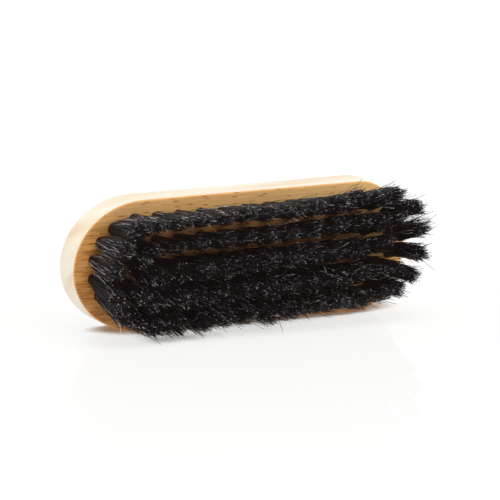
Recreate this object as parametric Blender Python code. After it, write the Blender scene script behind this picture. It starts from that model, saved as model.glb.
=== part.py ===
"""Shoe brush: a beech block filled with bunches of black horsehair. Metres, +Z up.

The brush lies on one long side, as on a table. The origin is on that flat side, under the middle of
the rings of bunches.
Every piece is made in the brush's own frame, where the bristle face is the XY plane, the block is
below it and the hair rises along +Z. One empty then turns that frame over on to its side, so that
the hair points along -Y and the hidden back of the block faces +Y.

The hair stands in nested rings: a middle row, an inner ring and an outer ring. Each stretch of a ring
is one piece, made of its strip of the wooden face, the plugs of hair in the drilled holes below it,
and the strands that fan out above it.
"""

import math
import random

import bmesh
import bpy
from mathutils import Matrix, Vector

# Block
BLOCK_LENGTH = 0.140
BLOCK_WIDTH = 0.050
BLOCK_THICKNESS = 0.0125
BLOCK_SHIFT = -0.0009
LEFT_END_LENGTH = 0.0285
RIGHT_END_LENGTH = 0.0200
FACE_EDGE_ROUND = 0.0007
BACK_EDGE_ROUND = 0.0015

# Places of the bunches on the face
EDGE_TO_OUTER_RING = 0.0072
BUNCH_PITCH = 0.0092
OUTER_END_COUNT = 6
OUTER_END_STEP = math.radians(23)
INNER_END_COUNT = 2
INNER_END_STEP = math.radians(80)

# Drilled holes and what sits in them
HOLE_DIAMETER = 0.0042
WOOD_BEHIND_HOLES = 0.005
STRIP_THICKNESS = 0.0017
STRIP_MARGIN = 0.0034
SEAT_CLEARANCE = 0.0003

# Hair
HAIR_LENGTH = 0.025
HAIR_LENGTH_SPREAD = 0.0008
STRANDS_ROUND_BUNCH = 6
STRAND_THICKNESS = 0.0011
STRAND_TIP_THICKNESS = 0.0017
BUNCH_TIP_RADIUS = 0.0030
FLARE_ALONG = 0.04
FLARE_ACROSS = 0.16
SWEEP_AT_MIDDLE = 0.0030
SWEEP_AT_ENDS = 0.0038
TABLE_MARGIN = 0.0012
TABLE_PRESS = 0.15
SEED = 11

# Fineness of the round shapes
BLOCK_FACETS = 36
STRIP_FACETS = 12
HOLE_SIDES = 10
PLUG_SIDES = 6

# Worked out from the sizes above
STRAIGHT_RUN = BLOCK_LENGTH - BLOCK_WIDTH
RING_SPACING = (BLOCK_WIDTH / 2 - EDGE_TO_OUTER_RING) / 2
INNER_RING = RING_SPACING
OUTER_RING = 2 * RING_SPACING
POCKET_RADIUS = OUTER_RING + STRIP_MARGIN
POCKET_DEPTH = STRIP_THICKNESS + SEAT_CLEARANCE
HOLE_DEPTH = BLOCK_THICKNESS - WOOD_BEHIND_HOLES
PLUG_RADIUS = HOLE_DIAMETER / 2 - SEAT_CLEARANCE
BUNCH_ROOT_RADIUS = PLUG_RADIUS - STRAND_THICKNESS / 2
STRAND_ROOT_DEPTH = STRIP_THICKNESS * 0.3
PLUG_TOP_DEPTH = STRIP_THICKNESS * 0.6


def clear_scene():
    for found in list(bpy.data.objects):
        bpy.data.objects.remove(found, do_unlink=True)


def make_collection(name):
    collection = bpy.data.collections.new(name)
    bpy.context.scene.collection.children.link(collection)
    return collection


def make_material(name, color, roughness):
    material = bpy.data.materials.new(name)
    material.use_nodes = True
    shader = material.node_tree.nodes["Principled BSDF"]
    shader.inputs["Base Color"].default_value = (*color, 1)
    shader.inputs["Roughness"].default_value = roughness
    shader.inputs["Metallic"].default_value = 0
    return material


def make_frame():
    """The empty that lays the brush on its side, with the middle of the face as its own origin."""
    frame = bpy.data.objects.new("shoe_brush_frame", None)
    frame.location = (0, -BLOCK_THICKNESS / 2, BLOCK_WIDTH / 2)
    frame.rotation_euler = (math.pi / 2, 0, 0)
    bpy.context.scene.collection.objects.link(frame)
    return frame


def place(name, mesh, collection, frame, materials, helper=False):
    """An object in the brush's frame. A helper is only a tool for a Boolean, so it isn't rendered."""
    made = bpy.data.objects.new(name, mesh)
    made.parent = frame
    collection.objects.link(made)
    for material in materials:
        mesh.materials.append(material)
    if helper:
        made.hide_render = True
        made.display_type = "WIRE"
    return made


# Rings: each is two straight runs and two half turns, walked from the middle of the upper run


def ring_station(radius, travel):
    """The point at this travel along a ring, and the direction that points out of the ring there."""
    half_run = STRAIGHT_RUN / 2
    half_lap = STRAIGHT_RUN + math.pi * radius
    laps, along = divmod(travel + half_run, half_lap)
    along -= half_run
    if along <= half_run:
        point, outward = Vector((along, radius)), Vector((0, 1))
    else:
        angle = (along - half_run) / radius
        outward = Vector((math.sin(angle), math.cos(angle)))
        point = Vector((half_run, 0)) + radius * outward
    side = -1 if laps % 2 else 1
    return side * point, side * outward


def corner_travels(radius, facets, start, stop):
    """The travels strictly between start and stop where an outline of this ring has its corners."""
    turn = math.pi * radius
    half_lap = STRAIGHT_RUN + turn
    corners = []
    for half in range(-2, 4):
        first = STRAIGHT_RUN / 2 + half * half_lap
        corners += [first + turn * step / facets for step in range(facets + 1)]
    margin = turn / facets * 0.05
    return [travel for travel in corners if start + margin < travel < stop - margin]


def stadium_outline(radius, facets):
    """A closed outline with two straight sides and two half-round ends."""
    lap = 2 * (STRAIGHT_RUN + math.pi * radius)
    return [ring_station(radius, travel)[0] for travel in corner_travels(radius, facets, 0, lap)]


def block_outline():
    """Two straight long sides, closed by a half ellipse at each end."""
    outline = []
    for side, reach in ((1, RIGHT_END_LENGTH), (-1, LEFT_END_LENGTH)):
        middle = BLOCK_SHIFT + side * (BLOCK_LENGTH / 2 - reach)
        for step in range(BLOCK_FACETS + 1):
            angle = math.pi * step / BLOCK_FACETS
            across = side * BLOCK_WIDTH / 2 * math.cos(angle)
            outline.append(Vector((middle + side * reach * math.sin(angle), across)))
    return outline


def band_outline(radius, inner, outer, start, stop):
    """A stretch of a ring as a strip, whose two edges lie inner and outer away from the ring's line."""
    travels = [start, *corner_travels(radius, STRIP_FACETS, start, stop), stop]
    stations = [ring_station(radius, travel) for travel in travels]
    far = [point + outer * outward for point, outward in stations]
    near = [point - inner * outward for point, outward in stations]
    return far + near[::-1]


def middle_outline(half_width, left, right):
    """A stretch of the middle row as a strip. An end given as None is the half-round end of the row."""
    outline = []
    for side, end in ((1, right), (-1, left)):
        if end is None:
            lap_start = 0 if side > 0 else STRAIGHT_RUN + math.pi * half_width
            lap_stop = lap_start + STRAIGHT_RUN + math.pi * half_width
            travels = corner_travels(half_width, STRIP_FACETS, lap_start, lap_stop)
            outline += [ring_station(half_width, travel)[0] for travel in travels]
        else:
            outline += [Vector((end, side * half_width)), Vector((end, -side * half_width))]
    return outline


# Solids


def mesh_of(made):
    """The evaluated shape of a curve object as a plain mesh with its caps welded on. The curve goes."""
    graph = bpy.context.evaluated_depsgraph_get()
    mesh = bpy.data.meshes.new_from_object(made.evaluated_get(graph))
    mesh.materials.clear()
    curve = made.data
    bpy.data.objects.remove(made, do_unlink=True)
    bpy.data.curves.remove(curve)
    shape = bmesh.new()
    shape.from_mesh(mesh)
    bmesh.ops.remove_doubles(shape, verts=shape.verts, dist=0.000001)
    bmesh.ops.recalc_face_normals(shape, faces=shape.faces)
    shape.to_mesh(mesh)
    shape.free()
    return mesh


def plate_mesh(name, outline, bottom, top):
    """A flat plate of this outline between two heights, with its two faces as single polygons."""
    curve = bpy.data.curves.new(name, "CURVE")
    curve.dimensions = "2D"
    curve.fill_mode = "BOTH"
    curve.extrude = (top - bottom) / 2
    spline = curve.splines.new("POLY")
    spline.points.add(len(outline) - 1)
    for corner, point in zip(spline.points, outline):
        corner.co = (point.x, point.y, 0, 1)
    spline.use_cyclic_u = True
    made = bpy.data.objects.new(name, curve)
    bpy.context.scene.collection.objects.link(made)
    mesh = mesh_of(made)
    shape = bmesh.new()
    shape.from_mesh(mesh)
    bmesh.ops.dissolve_limit(shape, angle_limit=0.001, verts=shape.verts, edges=shape.edges)
    bmesh.ops.translate(shape, verts=shape.verts, vec=(0, 0, (top + bottom) / 2))
    shape.to_mesh(mesh)
    shape.free()
    return mesh


def round_rim(mesh, height, radius, segments):
    """Rounds the edges that lie at this height all round a plate."""
    shape = bmesh.new()
    shape.from_mesh(mesh)
    rim = [e for e in shape.edges if all(abs(v.co.z - height) < 0.00001 for v in e.verts)]
    bmesh.ops.bevel(
        shape, geom=rim, offset=radius, segments=segments, profile=0.5, affect="EDGES"
    )
    shape.to_mesh(mesh)
    shape.free()


def add_drilling(shape, bunch, radius, sides, top_depth, bottom_depth):
    """Adds a cylinder along the drilled axis of a bunch, between two depths under the face."""
    lean = drill_lean(bunch)
    axis = Vector((lean.x, lean.y, 1)).normalized()
    depth = (bottom_depth + top_depth) / 2
    middle = Vector((bunch.x, bunch.y, 0)) - axis * depth
    turn = axis.to_track_quat("Z", "Y").to_matrix().to_4x4()
    bmesh.ops.create_cone(
        shape,
        cap_ends=True,
        segments=sides,
        radius1=radius,
        radius2=radius,
        depth=bottom_depth - top_depth,
        matrix=Matrix.Translation(middle) @ turn,
    )


# Hair


def drill_lean(bunch):
    """How far the drilled axis of a bunch leans for each metre of height."""
    return Vector((bunch.x * FLARE_ALONG, bunch.y * FLARE_ACROSS)) / HAIR_LENGTH


def above_table(y):
    """Hair that would dip under the table is pressed flat just above it."""
    lowest = TABLE_MARGIN - BLOCK_WIDTH / 2
    return max(y, lowest) + min(y - lowest, 0) * TABLE_PRESS


def hair_point(bunch, offset, height):
    """Where a strand is at this height, for its offset from the middle of its bunch at the root."""
    share = height / HAIR_LENGTH
    widening = BUNCH_TIP_RADIUS / BUNCH_ROOT_RADIUS - 1
    sweep = SWEEP_AT_MIDDLE + SWEEP_AT_ENDS * bunch.x / (BLOCK_LENGTH / 2)
    point = bunch + drill_lean(bunch) * height + offset * (1 + widening * share)
    point.y += sweep * share * share
    return Vector((point.x, above_table(point.y), height))


def root_offsets(twist):
    """One strand in the middle of the bunch and the others round it."""
    offsets = [Vector((0, 0))]
    for index in range(STRANDS_ROUND_BUNCH):
        angle = twist + 2 * math.pi * index / STRANDS_ROUND_BUNCH
        offsets.append(BUNCH_ROOT_RADIUS * Vector((math.cos(angle), math.sin(angle))))
    return offsets


def strand_profile():
    """The three-sided cross-section that every strand is swept along."""
    curve = bpy.data.curves.new("strand_profile", "CURVE")
    curve.dimensions = "2D"
    spline = curve.splines.new("POLY")
    spline.points.add(2)
    for index, corner in enumerate(spline.points):
        angle = 2 * math.pi * index / 3
        corner.co = (math.cos(angle), math.sin(angle), 0, 1)
    spline.use_cyclic_u = True
    profile = bpy.data.objects.new("strand_profile", curve)
    bpy.context.scene.collection.objects.link(profile)
    profile.hide_render = True
    profile.display_type = "WIRE"
    return profile


def strands_mesh(name, bunches, chance):
    """Three-sided strands that fan out of each bunch, each one standing for a lock of hairs."""
    profile = strand_profile()
    curve = bpy.data.curves.new(name, "CURVE")
    curve.dimensions = "3D"
    curve.bevel_mode = "OBJECT"
    curve.bevel_object = profile
    curve.use_fill_caps = True
    for bunch in bunches:
        twist = chance.uniform(0, 2 * math.pi)
        for offset in root_offsets(twist):
            length = HAIR_LENGTH - chance.uniform(0, HAIR_LENGTH_SPREAD)
            spline = curve.splines.new("POLY")
            spline.points.add(1)
            root, tip = spline.points
            root.co = (*hair_point(bunch, offset, 0).xy, -STRAND_ROOT_DEPTH, 1)
            root.radius = STRAND_THICKNESS / 2
            tip.co = (*hair_point(bunch, offset, length), 1)
            tip.radius = STRAND_TIP_THICKNESS / 2
    made = bpy.data.objects.new(name, curve)
    bpy.context.scene.collection.objects.link(made)
    mesh = mesh_of(made)
    profile_curve = profile.data
    bpy.data.objects.remove(profile, do_unlink=True)
    bpy.data.curves.remove(profile_curve)
    return mesh


def hair_mesh(name, bunches, chance):
    """The strands above the face and the plugs of folded hair in the holes, as separate solids."""
    mesh = strands_mesh(name, bunches, chance)
    shape = bmesh.new()
    shape.from_mesh(mesh)
    for bunch in bunches:
        add_drilling(shape, bunch, PLUG_RADIUS, PLUG_SIDES, PLUG_TOP_DEPTH, HOLE_DEPTH - SEAT_CLEARANCE)
    for face in shape.faces:
        face.material_index = 1
    shape.to_mesh(mesh)
    shape.free()
    return mesh


# Where the bunches stand


def row_travels():
    """Bunches at an even pitch on both sides of the middle of a straight run."""
    half_count = math.floor(STRAIGHT_RUN / 2 / BUNCH_PITCH + 0.3)
    return [BUNCH_PITCH * index for index in range(-half_count, half_count + 1)]


def end_travels(radius, count, step):
    """Bunches at an even angle round the right-hand end of a ring, from its upper side down."""
    angles = [math.pi / 2 + step * (index - (count - 1) / 2) for index in range(count)]
    return [STRAIGHT_RUN / 2 + radius * angle for angle in angles]


def split(items, parts):
    """The items in order, shared out over this many lists of nearly equal length."""
    cuts = [round(len(items) * part / parts) for part in range(parts + 1)]
    return [items[low:high] for low, high in zip(cuts, cuts[1:])]


def ring_groups(ring, radius, end_bunches, end_step, end_names):
    """(name, travels) of each stretch of a ring, in order round the ring."""
    half_lap = STRAIGHT_RUN + math.pi * radius
    groups = []
    for half, (row, sides, end) in enumerate(
        (("top", ("left", "middle", "right"), "right"), ("bottom", ("right", "middle", "left"), "left"))
    ):
        shift = half * half_lap
        for side, travels in zip(sides, split(row_travels(), len(sides))):
            groups.append((f"{ring}_row_{row}_{side}", [t + shift for t in travels]))
        names = end_names if half == 0 else end_names[::-1]
        ends = split(end_travels(radius, end_bunches, end_step), len(names))
        for name, travels in zip(names, ends):
            groups.append((f"{ring}_end_{end}{name}", [t + shift for t in travels]))
    return groups


def ring_pieces(ring, radius, outer_half, end_bunches, end_step, end_names):
    """(name, outline of its strip, bunches) of each stretch of a ring."""
    groups = ring_groups(ring, radius, end_bunches, end_step, end_names)
    lap = 2 * (STRAIGHT_RUN + math.pi * radius)
    gap = SEAT_CLEARANCE / 2
    pieces = []
    for index, (name, travels) in enumerate(groups):
        before = groups[index - 1][1][-1] - (lap if index == 0 else 0)
        after = groups[(index + 1) % len(groups)][1][0] + (lap if index + 1 == len(groups) else 0)
        start = (before + travels[0]) / 2 + gap
        stop = (travels[-1] + after) / 2 - gap
        outline = band_outline(radius, RING_SPACING / 2 - gap, outer_half, start, stop)
        pieces.append((name, outline, [ring_station(radius, t)[0] for t in travels]))
    return pieces


def middle_pieces():
    """(name, outline of its strip, bunches) of each stretch of the middle row."""
    sides = ("left", "middle", "right")
    groups = split(row_travels(), len(sides))
    gap = SEAT_CLEARANCE / 2
    pieces = []
    for index, (side, travels) in enumerate(zip(sides, groups)):
        left = (groups[index - 1][-1] + travels[0]) / 2 + gap if index > 0 else None
        right = (travels[-1] + groups[index + 1][0]) / 2 - gap if index + 1 < len(sides) else None
        outline = middle_outline(RING_SPACING / 2 - gap, left, right)
        pieces.append((f"middle_row_{side}", outline, [Vector((t, 0)) for t in travels]))
    return pieces


def all_pieces():
    inner_outer_half = RING_SPACING / 2 - SEAT_CLEARANCE / 2
    outer_outer_half = STRIP_MARGIN - SEAT_CLEARANCE
    return [
        *middle_pieces(),
        *ring_pieces("inner", INNER_RING, inner_outer_half, INNER_END_COUNT, INNER_END_STEP, ("",)),
        *ring_pieces(
            "outer", OUTER_RING, outer_outer_half, OUTER_END_COUNT, OUTER_END_STEP, ("_top", "_bottom")
        ),
    ]


# Pieces


def make_block(pieces, parts, cutters, frame, beech):
    """The block: rounded at the back, with the pocket for the face strips and the drilled holes."""
    body = plate_mesh("wood_block", block_outline(), -BLOCK_THICKNESS, 0)
    round_rim(body, 0, FACE_EDGE_ROUND, 2)
    round_rim(body, -BLOCK_THICKNESS, BACK_EDGE_ROUND, 4)
    block = place("wood_block", body, parts, frame, [beech])

    pocket_mesh = plate_mesh(
        "pocket_cutter", stadium_outline(POCKET_RADIUS, STRIP_FACETS), -POCKET_DEPTH, POCKET_DEPTH
    )
    pocket = place("pocket_cutter", pocket_mesh, cutters, frame, [], helper=True)

    drilled = bpy.data.meshes.new("hole_cutter")
    shape = bmesh.new()
    for _, _, bunches in pieces:
        for bunch in bunches:
            add_drilling(shape, bunch, HOLE_DIAMETER / 2, HOLE_SIDES, POCKET_DEPTH / 2, HOLE_DEPTH)
    shape.to_mesh(drilled)
    shape.free()
    holes = place("hole_cutter", drilled, cutters, frame, [], helper=True)

    for cutter in (pocket, holes):
        cut = block.modifiers.new(cutter.name, "BOOLEAN")
        cut.operation = "DIFFERENCE"
        cut.object = cutter
    block.data.shade_smooth()
    block.data.set_sharp_from_angle(angle=math.radians(35))
    return block


def make_bristles(name, outline, bunches, chance, parts, cutters, frame, materials):
    """One stretch of bristles: a strip of the face with its plugs and its strands joined on."""
    strip = plate_mesh(name, outline, -STRIP_THICKNESS, 0)
    made = place(name, strip, parts, frame, materials)
    hair = hair_mesh(f"{name}_hair", bunches, chance)
    helper = place(f"{name}_hair", hair, cutters, frame, materials, helper=True)
    join = made.modifiers.new("hair", "BOOLEAN")
    join.operation = "UNION"
    join.object = helper
    return made


def main():
    clear_scene()
    parts = make_collection("shoe_brush")
    cutters = make_collection("cutters")
    beech = make_material("pale_beech", (0.62, 0.41, 0.22), 0.45)
    horsehair = make_material("black_horsehair", (0.014, 0.011, 0.010), 0.4)
    frame = make_frame()
    pieces = all_pieces()
    make_block(pieces, parts, cutters, frame, beech)
    chance = random.Random(SEED)
    for name, outline, bunches in pieces:
        make_bristles(name, outline, bunches, chance, parts, cutters, frame, [beech, horsehair])
    bunch_count = sum(len(bunches) for _, _, bunches in pieces)
    print(bunch_count, "bunches,", bunch_count * (STRANDS_ROUND_BUNCH + 1), "strands")


main()
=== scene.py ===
# %% [markdown]
# # A shoe brush
# A beech block lies on its long side and turns its face, full of black horsehair, to the camera.
# The block is a plain plank with round ends. What makes it a brush is the hair: seventy-one bunches
# stand in drilled holes, in nested rings, and each one fans out and leans its own way.
#
# ## Loading the solids
# The brush was modelled before as plain solids, in metres, with +Z up. They could be painted and
# used as they are, but a strand more than a millimetre thick doesn't look like hair. So each solid
# is replaced here by a finer mesh in the same place. The block's box is measured first.

# %% Load the imported model
import math

import bmesh
import bpy
from mathutils import Matrix, Vector


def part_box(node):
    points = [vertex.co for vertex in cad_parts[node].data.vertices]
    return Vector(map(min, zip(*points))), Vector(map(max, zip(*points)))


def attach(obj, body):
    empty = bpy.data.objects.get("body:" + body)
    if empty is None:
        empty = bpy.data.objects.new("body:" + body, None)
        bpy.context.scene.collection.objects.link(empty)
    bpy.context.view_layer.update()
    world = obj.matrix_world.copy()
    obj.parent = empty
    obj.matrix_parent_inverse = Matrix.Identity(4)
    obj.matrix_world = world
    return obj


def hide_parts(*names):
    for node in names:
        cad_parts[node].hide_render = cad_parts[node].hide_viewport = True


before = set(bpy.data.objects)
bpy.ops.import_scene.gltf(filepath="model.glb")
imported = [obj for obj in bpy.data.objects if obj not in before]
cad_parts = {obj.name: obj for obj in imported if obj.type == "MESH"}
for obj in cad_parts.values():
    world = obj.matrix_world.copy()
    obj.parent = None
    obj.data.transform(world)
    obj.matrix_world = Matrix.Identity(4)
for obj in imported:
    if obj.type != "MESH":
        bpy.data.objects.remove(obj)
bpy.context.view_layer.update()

print("solids in the frame:", len(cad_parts))

# %% [markdown]
# ## The block's own box
# The real block is one flat piece of beech, about three times as long as it is wide. Its sizes could
# be typed in again, but a size that is written twice soon differs, so they are read from the solid.
# The brush lies on its side: the face that holds the hair looks along -Y, and "up the face" is +Z.

# %% The block's box
block_low, block_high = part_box("wood_block")
BLOCK_LENGTH = block_high.x - block_low.x
BLOCK_WIDTH = block_high.z - block_low.z
BLOCK_THICKNESS = block_high.y - block_low.y
FACE_Y = block_low.y
BACK_Y = block_high.y
MIDDLE_Z = (block_low.z + block_high.z) / 2
print(f"block {BLOCK_LENGTH * 1000:.1f} x {BLOCK_WIDTH * 1000:.1f} x {BLOCK_THICKNESS * 1000:.1f} mm")

# %% [markdown]
# ## Places along a ring
# The holes of such a brush follow nested rings: a row in the middle, then an inner and an outer
# ring, each with two straight runs and two half turns. The places could be typed in one by one.
# Walking along a ring by distance gives them all with one rule: a straight run, a half turn, and
# the same again turned half way round. A row, an end and a whole ring are then lists of distances.

# %% Walk along a ring
EDGE_TO_OUTER_RING = 0.0072
RING_SPACING = (BLOCK_WIDTH / 2 - EDGE_TO_OUTER_RING) / 2
INNER_RING = RING_SPACING
OUTER_RING = 2 * RING_SPACING
HALF_RUN = round((BLOCK_LENGTH - BLOCK_WIDTH) / 2, 6)  # the box has rounding errors far below a micrometre


def ring_place(radius, travel):
    """The place on the face, across and up from its middle, at this distance along a ring."""
    half_lap = 2 * HALF_RUN + math.pi * radius
    laps, along = divmod(travel + HALF_RUN, half_lap)
    along -= HALF_RUN
    if along <= HALF_RUN:
        place = Vector((along, radius))
    else:
        angle = (along - HALF_RUN) / radius
        place = Vector((HALF_RUN + radius * math.sin(angle), radius * math.cos(angle)))
    return -place if laps % 2 else place


outer_lap = 2 * (2 * HALF_RUN + math.pi * OUTER_RING)
print(f"rings {RING_SPACING * 1000:.1f} mm apart, once round the outer one {outer_lap * 1000:.0f} mm")

# %% [markdown]
# ## The bunches of each stretch
# The solid hair comes in stretches, such as the left third of a row, and each dressed piece replaces
# one of them. So the bunches are sorted here in the same way, under the solids' own names. They
# could be sorted by place afterwards, but a ring is walked in order anyway, and cutting that list in
# equal parts says the same more simply.

# %% The bunches of each stretch
BUNCH_PITCH = 0.0092
ROW_OVERRUN = 0.3  # a row may run past its straight by this share of the pitch
OUTER_END_BUNCHES = 6
OUTER_END_STEP = math.radians(23)
INNER_END_BUNCHES = 2
INNER_END_STEP = math.radians(80)
THIRDS = ("left", "middle", "right")


def shared_out(items, parts):
    """The items in order, in this many lists of nearly equal length."""
    cuts = [round(len(items) * part / parts) for part in range(parts + 1)]
    return [items[low:high] for low, high in zip(cuts, cuts[1:])]


def row_thirds():
    """The distances along a straight run at which bunches stand, in three lists."""
    count = math.floor(HALF_RUN / BUNCH_PITCH + ROW_OVERRUN)
    return shared_out([BUNCH_PITCH * index for index in range(-count, count + 1)], len(THIRDS))


def ring_bunches(ring, radius, end_count, end_step, end_names):
    """The name of each stretch of a ring, with the places of its bunches."""
    stretches = {}
    turns = [math.pi / 2 + end_step * (index - (end_count - 1) / 2) for index in range(end_count)]
    ends = shared_out([HALF_RUN + radius * turn for turn in turns], len(end_names))
    for half, (row, end) in enumerate((("top", "right"), ("bottom", "left"))):
        shift = half * (2 * HALF_RUN + math.pi * radius)
        order = -1 if half else 1
        for side, travels in zip(THIRDS[::order], row_thirds()):
            stretches[f"{ring}_row_{row}_{side}"] = [ring_place(radius, t + shift) for t in travels]
        for name, travels in zip(end_names[::order], ends):
            stretches[f"{ring}_end_{end}{name}"] = [ring_place(radius, t + shift) for t in travels]
    return stretches


bunches = {
    f"middle_row_{side}": [Vector((travel, 0)) for travel in travels]
    for side, travels in zip(THIRDS, row_thirds())
}
bunches |= ring_bunches("inner", INNER_RING, INNER_END_BUNCHES, INNER_END_STEP, ("",))
bunches |= ring_bunches("outer", OUTER_RING, OUTER_END_BUNCHES, OUTER_END_STEP, ("_top", "_bottom"))
print("bunches:", sum(len(places) for places in bunches.values()), "in", len(bunches), "stretches")

# %% [markdown]
# ## Writing node trees as sums
# Materials and Geometry Nodes are both trees of small nodes. They could be drawn with the mouse, or
# each node and link could be a line of Python. To write `1 - mask * 0.5` and get the Math nodes for
# it, one small class wraps a socket and overloads the operators. A second one makes any other node
# from its type, its settings and what goes into its sockets.

# %% A socket that can be used in a sum
class Socket:
    """An output of a node. Sums on it add Math nodes to its tree."""

    def __init__(self, graph, output):
        self.graph = graph
        self.output = output

    def math(self, operation, *others):
        return self.graph.add("ShaderNodeMath", {"operation": operation}, dict(enumerate((self, *others))))

    def __add__(self, other):
        return self.math("ADD", other)

    def __sub__(self, other):
        return self.math("SUBTRACT", other)

    def __rsub__(self, other):
        return self.graph.add("ShaderNodeMath", {"operation": "SUBTRACT"}, {0: other, 1: self})

    def __mul__(self, other):
        return self.math("MULTIPLY", other)

    def __truediv__(self, other):
        return self.math("DIVIDE", other)

    def __pow__(self, other):
        return self.math("POWER", other)

    __radd__ = __add__
    __rmul__ = __mul__

    def between(self, low, high):
        """0 below low, 1 above high, and an even rise from one to the other."""
        return self.graph.add("ShaderNodeMapRange", {"clamp": True}, {0: self, 1: low, 2: high}, "Result")

    def drawn_again(self, factor):
        """Another number from 0 to 1, from a random one and a factor of its own."""
        return (self * factor).math("FRACT")


print("sums that a socket takes: + - * / **")

# %% [markdown]
# ## Any other node
# A node has settings, such as the operation of a Math node, and sockets, which take a value or a
# link. Every kind of node could have a function of its own, but they all go through the same three
# steps, so one method does for all. A setting can change which sockets there are, so the settings
# come first.

# %% A tree under construction
class Graph:
    """A node tree under construction."""

    def __init__(self, tree):
        self.tree = tree
        tree.nodes.clear()

    def add(self, kind, settings=None, inputs=None, output=0):
        """Makes a node and gives back one of its outputs."""
        made = self.tree.nodes.new(kind)
        for name, value in (settings or {}).items():
            if name == "stops":
                self.set_stops(made.color_ramp, value)
            else:
                setattr(made, name, value)
        for key, value in (inputs or {}).items():
            if isinstance(value, Socket):
                self.tree.links.new(value.output, made.inputs[key])
            else:
                made.inputs[key].default_value = value
        return Socket(self, made.outputs[output]) if made.outputs else made

    def set_stops(self, ramp, stops):
        while len(ramp.elements) < len(stops):
            ramp.elements.new(1)
        for element, (position, color) in zip(ramp.elements, stops):
            element.position = position
            element.color = opaque(color)

    def also(self, socket, output):
        """Another output of the node that this socket belongs to."""
        return Socket(self, socket.output.node.outputs[output])

    def vector(self, x, y, z):
        return self.add("ShaderNodeCombineXYZ", None, {0: x, 1: y, 2: z})

    def parts(self, vector):
        """The x, y and z of a vector."""
        split = self.add("ShaderNodeSeparateXYZ", None, {0: vector})
        return split, self.also(split, 1), self.also(split, 2)


def opaque(color):
    """Adds the fourth number that a colour socket wants. A link stays as it is."""
    return color if isinstance(color, Socket) else (*color, 1)


print("a colour for a socket:", opaque((0.5, 0.5, 0.5)))

# %% [markdown]
# ## The hair and the sizes that drive it
# Horsehair is stiff, black and a little wavy. A bunch is folded in half, pushed into its hole and
# pinned there with a flat staple, so it leaves the hole as a tight neck and opens like a shaving
# brush. Blender has hair of its own, but that is no mesh, and the export takes only meshes. So one
# Geometry Nodes tree grows the hair as a mesh. It takes a point for each bunch, scatters hairs over
# the hole and bends a straight line into each hair. Its sizes are named inputs, which show in the
# modifier's panel.

# %% Inputs of the hair tree
HAIR_LENGTH = 0.025
HAIR_INPUTS = (
    ("Hairs", "Int", 470),
    ("Hair Length", "Float", HAIR_LENGTH),
    ("Hair Thickness", "Float", 0.00022),
    ("Neck Radius", "Float", 0.0019),
    ("Tip Radius", "Float", 0.0048),
    ("Seed", "Int", 0),
    ("Material", "Material", None),
)


def add_inputs(tree, inputs):
    """Gives a Geometry Nodes tree its named inputs, and its geometry in and out."""
    face = tree.interface
    face.new_socket("Geometry", in_out="INPUT", socket_type="NodeSocketGeometry")
    for name, kind, value in inputs:
        made = face.new_socket(name, in_out="INPUT", socket_type=f"NodeSocket{kind}")
        if value is not None:
            made.default_value = value
    face.new_socket("Geometry", in_out="OUTPUT", socket_type="NodeSocketGeometry")


print("inputs of the hair tree:", ", ".join(name for name, _, _ in HAIR_INPUTS))

# %% [markdown]
# ## How far the rows lean
# Each hole is drilled a little outwards, and use has swept the hair further up, most of all towards
# the right end. Every bunch could have its own numbers in a table, but a sweep is even, so one
# formula of the bunch's place covers all the rows. Lengths are in metres, like everything here.

# %% How far the rows lean
TILT_ALONG = 0.035  # how far a hole points outwards, over the hair's length, for each metre along
TILT_UP = 0.12  # and for each metre up the face
SWEEP_UP = 0.0034
SWEEP_TO_RIGHT = 0.055
SWEEP_EASES = 4.5
UPPER_ROWS = (-0.002, 0.008)  # up the face
LOWEST_ROW = (0.010, 0.017)  # down the face
RIGHT_CORNER = (0.032, 0.046)
RIGHT_PART = (0.0, 0.04)
LEFT_PART = (0.0, 0.03)
MIDDLE_ROW_REACH = 0.002
UPPER_LIFT = 0.0006
UPPER_RIGHT_LIFT = 0.0006
LOWEST_LIFT = 0.0018
LOWEST_LEFT_LIFT = 0.0008
LOWEST_CORNER_LIFT = 0.0006
MIDDLE_CORNER_LIFT = 0.0014


def share_between(value, low, high):
    """0 below low, 1 above high, and an even rise from one to the other."""
    return min(max((value - low) / (high - low), 0.0), 1.0)


def row_lift(x, up):
    """How far the tips of a row's bunch lean up the face."""
    upper = share_between(up, *UPPER_ROWS)
    lowest = share_between(-up, *LOWEST_ROW)
    corner = share_between(x, *RIGHT_CORNER)
    lift = x * SWEEP_TO_RIGHT + up * (TILT_UP - x) - up * up * SWEEP_EASES + SWEEP_UP
    lift += upper * (UPPER_LIFT + share_between(x, *RIGHT_PART) * UPPER_RIGHT_LIFT)
    left = share_between(-x, *LEFT_PART)
    lift += lowest * (LOWEST_LIFT + left * LOWEST_LEFT_LIFT + corner * LOWEST_CORNER_LIFT)
    if abs(up) < MIDDLE_ROW_REACH:
        lift += corner * MIDDLE_CORNER_LIFT
    return lift


print(f"tips of the middle bunch stand {row_lift(0, 0) * 1000:.1f} mm higher than its hole")

# %% [markdown]
# ## How wide the rows fan out
# The upper rows have stayed slim, so that wood shows between them, and the lower ones have opened
# until they meet. One tip radius for all would close every gap. So each bunch has a share of the
# tree's opening from neck to tip, up the face and along it, again from a formula of its place.

# %% How wide the rows fan out
SLIM_FAN = 0.57
SLIM_FAN_TO_RIGHT = 6
WIDE_FAN = 1.45
CORNER_SLIMS = 0.45
LOWEST_SLIMS = 0.20
MIDDLE_CORNER_SLIMS = 0.22
FAN_ALONG = 1.25
LOWER_FAN_ALONG = 0.65


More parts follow.
